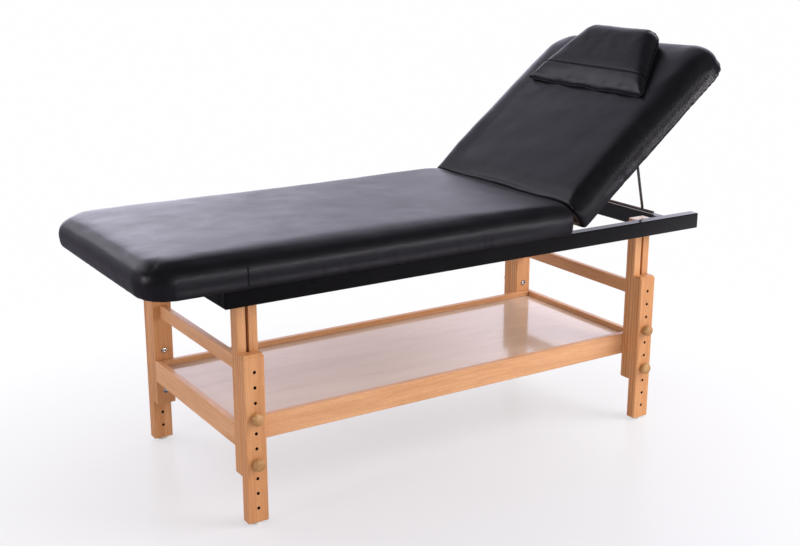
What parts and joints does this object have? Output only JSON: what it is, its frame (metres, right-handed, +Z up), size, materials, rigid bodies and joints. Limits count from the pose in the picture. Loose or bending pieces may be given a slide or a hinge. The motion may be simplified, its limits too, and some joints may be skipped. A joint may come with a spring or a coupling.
{
  "type": "massage table",
  "caption": "Wooden massage table with padded top, tilting backrest on a folding prop, loose wedge pillow, height-adjustable bolted legs and a shelf tray.",
  "frame": {"origin": "on the floor under the middle of the bounding box", "axes": "+X along the table towards the head end, +Z up, -Y towards the side the picture shows nearest"},
  "size_m": [1.8074, 0.7, 1.1428],
  "materials": {
    "knob_wood": "satin lacquer",
    "bolt_chrome": "polished",
    "glide_plastic": "matte",
    "leg_wood": "satin lacquer",
    "rail_wood": "satin lacquer",
    "shelf_laminate": "gloss laminate on board",
    "rack_wood": "plain",
    "clip_plastic": "matte",
    "prop_chrome": "polished",
    "rail_black": "black satin lacquer",
    "inner_wood": "plain",
    "hinge_steel": "zinc plated",
    "pillow_cover": "semi-gloss artificial leather",
    "pad_cover": "semi-gloss artificial leather"
  },
  "bodies": {
    "frame": {"foot_cross_rail": "rail_black", "front_rail": "rail_black", "head_cross_rail": "rail_black", "hinge_leaf_main": "hinge_steel", "hinge_pin": "hinge_steel", "insert_foot_front_lower": "bolt_chrome", "insert_foot_front_upper": "bolt_chrome", "insert_foot_rear_lower": "bolt_chrome", "insert_foot_rear_upper": "bolt_chrome", "insert_head_front_lower": "bolt_chrome", "insert_head_front_upper": "bolt_chrome", "insert_head_rear_lower": "bolt_chrome", "insert_head_rear_upper": "bolt_chrome", "leg_foot_front": "leg_wood", "leg_foot_rear": "leg_wood", "leg_head_front": "leg_wood", "leg_head_rear": "leg_wood", "main_batten_foot": "inner_wood", "main_batten_front": "inner_wood", "main_batten_hinge": "inner_wood", "main_batten_rear": "inner_wood", "main_cushion": "pad_cover", "main_deck": "inner_wood", "prop_clip_front": "clip_plastic", "prop_clip_rear": "clip_plastic", "rear_rail": "rail_black", "shelf_panel": "shelf_laminate", "shelf_rail_foot": "rail_wood", "shelf_rail_front": "rail_wood", "shelf_rail_head": "rail_wood", "shelf_rail_rear": "rail_wood", "stretcher_foot": "rail_wood", "stretcher_head": "rail_wood"},
    "backrest": {"back_batten_front": "inner_wood", "back_batten_head": "inner_wood", "back_batten_hinge": "inner_wood", "back_batten_rear": "inner_wood", "back_cushion": "pad_cover", "back_deck": "inner_wood", "hinge_leaf_back": "hinge_steel", "prop_rack_front": "rack_wood", "prop_rack_rear": "rack_wood"},
    "pillow": {"pillow": "pillow_cover"},
    "prop": {"prop_bail": "prop_chrome"},
    "leg_extension_foot_front": {"leg_extension_foot_front": "leg_wood", "glide_foot_front": "glide_plastic"},
    "knob_foot_front_lower": {"knob_foot_front_lower": "knob_wood"},
    "knob_foot_front_upper": {"knob_foot_front_upper": "knob_wood"},
    "leg_extension_foot_rear": {"leg_extension_foot_rear": "leg_wood", "glide_foot_rear": "glide_plastic"},
    "knob_foot_rear_lower": {"knob_foot_rear_lower": "knob_wood"},
    "knob_foot_rear_upper": {"knob_foot_rear_upper": "knob_wood"},
    "leg_extension_head_front": {"leg_extension_head_front": "leg_wood", "glide_head_front": "glide_plastic"},
    "knob_head_front_lower": {"knob_head_front_lower": "knob_wood"},
    "knob_head_front_upper": {"knob_head_front_upper": "knob_wood"},
    "leg_extension_head_rear": {"leg_extension_head_rear": "leg_wood", "glide_head_rear": "glide_plastic"},
    "knob_head_rear_lower": {"knob_head_rear_lower": "knob_wood"},
    "knob_head_rear_upper": {"knob_head_rear_upper": "knob_wood"}
  },
  "joints": [
    {"name": "backrest_tilt", "type": "hinge", "parent": "frame", "child": "backrest", "pos_m": [0.35726, 0, 0.675], "axis": [0, -1, 0], "range_deg": [-39, 0]},
    {"name": "prop_swing", "type": "hinge", "parent": "frame", "child": "prop", "pos_m": [0.72426, 0, 0.6246], "axis": [0, -1, 0], "range_deg": [-102.41, 0]},
    {"name": "pillow_lift", "type": "slide", "parent": "backrest", "child": "pillow", "axis": [-0.6293, 0, 0.7771], "range_m": [0, 0.2]},
    {"name": "height_foot_front", "type": "slide", "parent": "frame", "child": "leg_extension_foot_front", "axis": [0, 0, 1], "range_m": [-0.12, 0.12]},
    {"name": "knob_foot_front_lower_spin", "type": "hinge", "parent": "leg_extension_foot_front", "child": "knob_foot_front_lower", "pos_m": [-0.62374, -0.3301, 0.166], "axis": [0, -1, 0], "continuous": true},
    {"name": "knob_foot_front_upper_spin", "type": "hinge", "parent": "leg_extension_foot_front", "child": "knob_foot_front_upper", "pos_m": [-0.62374, -0.3301, 0.286], "axis": [0, -1, 0], "continuous": true},
    {"name": "height_foot_rear", "type": "slide", "parent": "frame", "child": "leg_extension_foot_rear", "axis": [0, 0, 1], "range_m": [-0.12, 0.12]},
    {"name": "knob_foot_rear_lower_spin", "type": "hinge", "parent": "leg_extension_foot_rear", "child": "knob_foot_rear_lower", "pos_m": [-0.62374, 0.3301, 0.166], "axis": [0, 1, 0], "continuous": true},
    {"name": "knob_foot_rear_upper_spin", "type": "hinge", "parent": "leg_extension_foot_rear", "child": "knob_foot_rear_upper", "pos_m": [-0.62374, 0.3301, 0.286], "axis": [0, 1, 0], "continuous": true},
    {"name": "height_head_front", "type": "slide", "parent": "frame", "child": "leg_extension_head_front", "axis": [0, 0, 1], "range_m": [-0.12, 0.12]},
    {"name": "knob_head_front_lower_spin", "type": "hinge", "parent": "leg_extension_head_front", "child": "knob_head_front_lower", "pos_m": [0.66026, -0.3301, 0.166], "axis": [0, -1, 0], "continuous": true},
    {"name": "knob_head_front_upper_spin", "type": "hinge", "parent": "leg_extension_head_front", "child": "knob_head_front_upper", "pos_m": [0.66026, -0.3301, 0.286], "axis": [0, -1, 0], "continuous": true},
    {"name": "height_head_rear", "type": "slide", "parent": "frame", "child": "leg_extension_head_rear", "axis": [0, 0, 1], "range_m": [-0.12, 0.12]},
    {"name": "knob_head_rear_lower_spin", "type": "hinge", "parent": "leg_extension_head_rear", "child": "knob_head_rear_lower", "pos_m": [0.66026, 0.3301, 0.166], "axis": [0, 1, 0], "continuous": true},
    {"name": "knob_head_rear_upper_spin", "type": "hinge", "parent": "leg_extension_head_rear", "child": "knob_head_rear_upper", "pos_m": [0.66026, 0.3301, 0.286], "axis": [0, 1, 0], "continuous": true}
  ],
  "couplings": [
    {"joint": "prop_swing", "follows": "backrest_tilt", "ratio": 2.6258}
  ]
}
